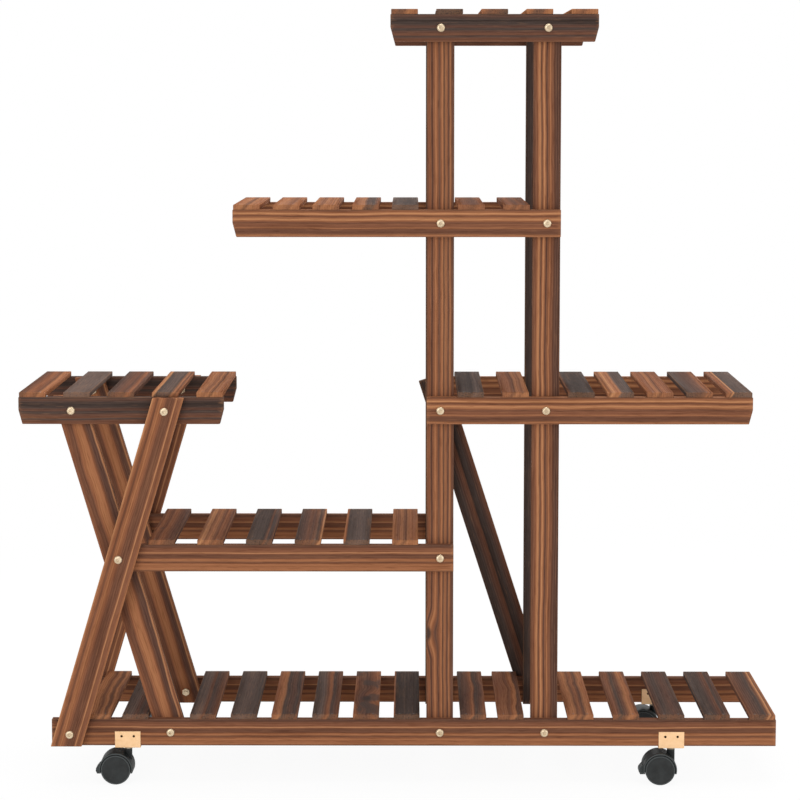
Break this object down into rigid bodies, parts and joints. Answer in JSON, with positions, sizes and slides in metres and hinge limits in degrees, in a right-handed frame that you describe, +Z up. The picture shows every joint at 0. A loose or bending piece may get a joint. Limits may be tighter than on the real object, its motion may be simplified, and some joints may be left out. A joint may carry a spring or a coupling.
{
  "type": "flower cart stand",
  "caption": "Wheeled wooden plant stand with staggered slatted shelves on bolted posts and crossed legs, rolling on braked swivel casters.",
  "frame": {"origin": "on the floor, under the middle of the stand's length and depth", "axes": "+X to the right seen from the front, +Y to the back, +Z up"},
  "size_m": [1.07, 0.281, 1.0935],
  "materials": {
    "fir_rails": "charred and oiled fir, satin, grain along the rail",
    "fir_slats": "charred and oiled fir, satin, each slat with its own tone, grain front to back",
    "fir_posts": "charred and oiled fir, satin, upright grain",
    "fir_legs": "charred and oiled fir, satin, grain along the leg",
    "fir_brace": "dark charred fir, satin",
    "bolt_metal": "pale brassed nickel, satin",
    "brad_steel": "dull steel",
    "screw_metal": "dark bronze",
    "bracket_metal": "pale gold enamel, satin",
    "pin_steel": "zinc plated",
    "caster_plastic": "moulded, satin",
    "wheel_plastic": "moulded, fine matt"
  },
  "bodies": {
    "stand": {"top_rail_front": "fir_rails", "top_rail_back": "fir_rails", "upper_rail_front": "fir_rails", "upper_rail_back": "fir_rails", "right_rail_front": "fir_rails", "right_rail_back": "fir_rails", "left_rail_front": "fir_rails", "left_rail_back": "fir_rails", "low_rail_front": "fir_rails", "low_rail_back": "fir_rails", "base_rail_front": "fir_rails", "base_rail_back": "fir_rails", "top_slats": "fir_slats", "upper_slats": "fir_slats", "right_slats": "fir_slats", "left_slats": "fir_slats", "low_slats": "fir_slats", "base_slats": "fir_slats", "left_post_front": "fir_posts", "left_post_back": "fir_posts", "right_post_front": "fir_posts", "right_post_back": "fir_posts", "outer_leg_front": "fir_legs", "outer_leg_back": "fir_legs", "inner_leg_front": "fir_legs", "inner_leg_back": "fir_legs", "back_brace": "fir_brace", "frame_bolts": "bolt_metal", "frame_nuts": "bolt_metal", "slat_brads": "brad_steel", "bracket_screws": "screw_metal", "caster_bracket_front_left": "bracket_metal", "caster_bracket_front_right": "bracket_metal", "caster_bracket_back_left": "bracket_metal", "caster_bracket_back_right": "bracket_metal", "caster_pin_front_left": "pin_steel", "caster_pin_front_right": "pin_steel", "caster_pin_back_left": "pin_steel", "caster_pin_back_right": "pin_steel"},
    "swivel_front_left": {"caster_hood_front_left": "caster_plastic", "caster_axle_front_left": "pin_steel"},
    "wheel_outer_front_left": {"caster_wheel_outer_front_left": "wheel_plastic"},
    "wheel_inner_front_left": {"caster_wheel_inner_front_left": "wheel_plastic"},
    "brake_front_left": {"caster_brake_front_left": "caster_plastic"},
    "swivel_front_right": {"caster_hood_front_right": "caster_plastic", "caster_axle_front_right": "pin_steel"},
    "wheel_outer_front_right": {"caster_wheel_outer_front_right": "wheel_plastic"},
    "wheel_inner_front_right": {"caster_wheel_inner_front_right": "wheel_plastic"},
    "brake_front_right": {"caster_brake_front_right": "caster_plastic"},
    "swivel_back_left": {"caster_hood_back_left": "caster_plastic", "caster_axle_back_left": "pin_steel"},
    "wheel_outer_back_left": {"caster_wheel_outer_back_left": "wheel_plastic"},
    "wheel_inner_back_left": {"caster_wheel_inner_back_left": "wheel_plastic"},
    "brake_back_left": {"caster_brake_back_left": "caster_plastic"},
    "swivel_back_right": {"caster_hood_back_right": "caster_plastic", "caster_axle_back_right": "pin_steel"},
    "wheel_outer_back_right": {"caster_wheel_outer_back_right": "wheel_plastic"},
    "wheel_inner_back_right": {"caster_wheel_inner_back_right": "wheel_plastic"},
    "brake_back_right": {"caster_brake_back_right": "caster_plastic"}
  },
  "joints": [
    {"name": "caster_swivel_front_left", "type": "hinge", "parent": "stand", "child": "swivel_front_left", "pos_m": [-0.3866, -0.119, 0.045], "axis": [0, 0, 1], "continuous": true},
    {"name": "wheel_outer_spin_front_left", "type": "hinge", "parent": "swivel_front_left", "child": "wheel_outer_front_left", "pos_m": [-0.4031, -0.119, 0.0212], "axis": [0, 1, 0], "continuous": true},
    {"name": "wheel_inner_spin_front_left", "type": "hinge", "parent": "swivel_front_left", "child": "wheel_inner_front_left", "pos_m": [-0.4031, -0.119, 0.0212], "axis": [0, 1, 0], "continuous": true},
    {"name": "brake_press_front_left", "type": "hinge", "parent": "swivel_front_left", "child": "brake_front_left", "pos_m": [-0.4201, -0.119, 0.0302], "axis": [0, -1, 0], "range_deg": [0, 7.5]},
    {"name": "caster_swivel_front_right", "type": "hinge", "parent": "stand", "child": "swivel_front_right", "pos_m": [0.3866, -0.119, 0.045], "axis": [0, 0, 1], "continuous": true},
    {"name": "wheel_outer_spin_front_right", "type": "hinge", "parent": "swivel_front_right", "child": "wheel_outer_front_right", "pos_m": [0.3701, -0.119, 0.0212], "axis": [0, 1, 0], "continuous": true},
    {"name": "wheel_inner_spin_front_right", "type": "hinge", "parent": "swivel_front_right", "child": "wheel_inner_front_right", "pos_m": [0.3701, -0.119, 0.0212], "axis": [0, 1, 0], "continuous": true},
    {"name": "brake_press_front_right", "type": "hinge", "parent": "swivel_front_right", "child": "brake_front_right", "pos_m": [0.3531, -0.119, 0.0302], "axis": [0, -1, 0], "range_deg": [0, 7.5]},
    {"name": "caster_swivel_back_left", "type": "hinge", "parent": "stand", "child": "swivel_back_left", "pos_m": [-0.3866, 0.119, 0.045], "axis": [0, 0, 1], "continuous": true},
    {"name": "wheel_outer_spin_back_left", "type": "hinge", "parent": "swivel_back_left", "child": "wheel_outer_back_left", "pos_m": [-0.4031, 0.119, 0.0212], "axis": [0, 1, 0], "continuous": true},
    {"name": "wheel_inner_spin_back_left", "type": "hinge", "parent": "swivel_back_left", "child": "wheel_inner_back_left", "pos_m": [-0.4031, 0.119, 0.0212], "axis": [0, 1, 0], "continuous": true},
    {"name": "brake_press_back_left", "type": "hinge", "parent": "swivel_back_left", "child": "brake_back_left", "pos_m": [-0.4201, 0.119, 0.0302], "axis": [0, -1, 0], "range_deg": [0, 7.5]},
    {"name": "caster_swivel_back_right", "type": "hinge", "parent": "stand", "child": "swivel_back_right", "pos_m": [0.3866, 0.119, 0.045], "axis": [0, 0, 1], "continuous": true},
    {"name": "wheel_outer_spin_back_right", "type": "hinge", "parent": "swivel_back_right", "child": "wheel_outer_back_right", "pos_m": [0.3701, 0.119, 0.0212], "axis": [0, 1, 0], "continuous": true},
    {"name": "wheel_inner_spin_back_right", "type": "hinge", "parent": "swivel_back_right", "child": "wheel_inner_back_right", "pos_m": [0.3701, 0.119, 0.0212], "axis": [0, 1, 0], "continuous": true},
    {"name": "brake_press_back_right", "type": "hinge", "parent": "swivel_back_right", "child": "brake_back_right", "pos_m": [0.3531, 0.119, 0.0302], "axis": [0, -1, 0], "range_deg": [0, 7.5]}
  ]
}
